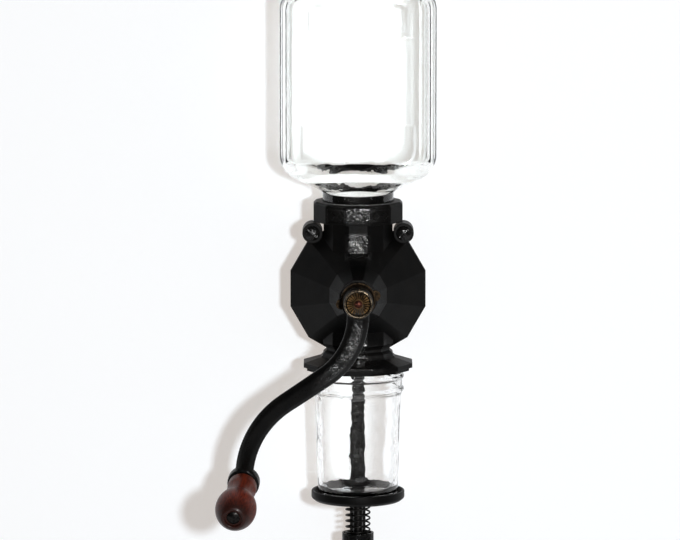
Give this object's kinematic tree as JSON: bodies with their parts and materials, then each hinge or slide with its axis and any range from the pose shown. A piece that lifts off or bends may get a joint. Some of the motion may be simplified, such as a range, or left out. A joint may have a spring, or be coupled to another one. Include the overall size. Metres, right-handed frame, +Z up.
{
  "type": "wall coffee mill",
  "caption": "Antique wall coffee mill: black faceted iron body, glass hopper above, S-shaped crank with a turned wooden knob, glass catch jar on a sprung tray below.",
  "frame": {"origin": "where the crank shaft's axis meets the wall", "axes": "+Z up, the front faces -Y, +X to the right seen from the front"},
  "size_m": [0.1655, 0.157, 0.4945],
  "materials": {
    "black_iron": "satin black japanned iron",
    "black_screw": "glossy black",
    "crank_iron": "glossy black japan, worn at the edges",
    "hopper_glass": "clear pressed glass",
    "jar_glass": "clear pressed glass",
    "tin": "dull tin plate",
    "lid_knob": "black",
    "steel": "plain steel",
    "dark_steel": "oil-darkened steel",
    "grey_iron": "bare cast iron",
    "bronze": "bronze",
    "aged_bronze": "dark aged bronze",
    "red_brass": "reddish brass",
    "knob_wood": "varnished red-brown wood"
  },
  "bodies": {
    "mill": {"housing_rear": "black_iron", "housing_front": "black_iron", "cover_screws": "black_screw", "foot_screw": "black_screw", "hopper_glass": "hopper_glass", "end_spring": "steel", "fixed_burr": "grey_iron", "burr_screws": "steel", "cup_bracket": "crank_iron", "bracket_screws": "steel", "tray_spring": "dark_steel"},
    "carriage": {"thrust_washer": "bronze"},
    "regulator": {"regulator": "aged_bronze"},
    "crank": {"shaft": "steel", "feed_auger": "grey_iron", "rotating_burr": "grey_iron", "burr_pin": "steel", "crank_arm": "crank_iron", "star_washer": "aged_bronze", "crank_screw": "red_brass", "knob_pin": "dark_steel", "knob_washer": "steel"},
    "knob": {"knob": "knob_wood"},
    "tray": {"tray": "black_iron", "tray_rod": "dark_steel", "rod_stop": "dark_steel", "rod_pin": "steel", "catch_jar": "jar_glass"},
    "lid": {"hopper_lid": "tin", "lid_knob": "lid_knob"}
  },
  "joints": [
    {"name": "burr_gap", "type": "slide", "parent": "mill", "child": "carriage", "axis": [0, 1, 0], "range_m": [-0.0005, 0.0005]},
    {"name": "regulator_turn", "type": "hinge", "parent": "carriage", "child": "regulator", "pos_m": [0, -0.1, 0], "axis": [0, 1, 0], "range_deg": [-120, 120]},
    {"name": "crank_turn", "type": "hinge", "parent": "carriage", "child": "crank", "pos_m": [0, -0.1, 0], "axis": [0, -1, 0], "continuous": true},
    {"name": "knob_spin", "type": "hinge", "parent": "crank", "child": "knob", "pos_m": [-0.08589, -0.098, -0.13978], "axis": [-0.1188, -0.9464, -0.3004], "continuous": true},
    {"name": "tray_slide", "type": "slide", "parent": "mill", "child": "tray", "axis": [0, 0, -1], "range_m": [0, 0.016], "stiffness_N_per_m": 400, "springref_m": -0.025, "deforming": ["tray_spring"]},
    {"name": "lid_lift", "type": "slide", "parent": "mill", "child": "lid", "axis": [0, 0, 1], "range_m": [0, 0.04]}
  ],
  "couplings": [
    {"joint": "regulator_turn", "follows": "burr_gap", "rad_per_m": 4188.8}
  ]
}
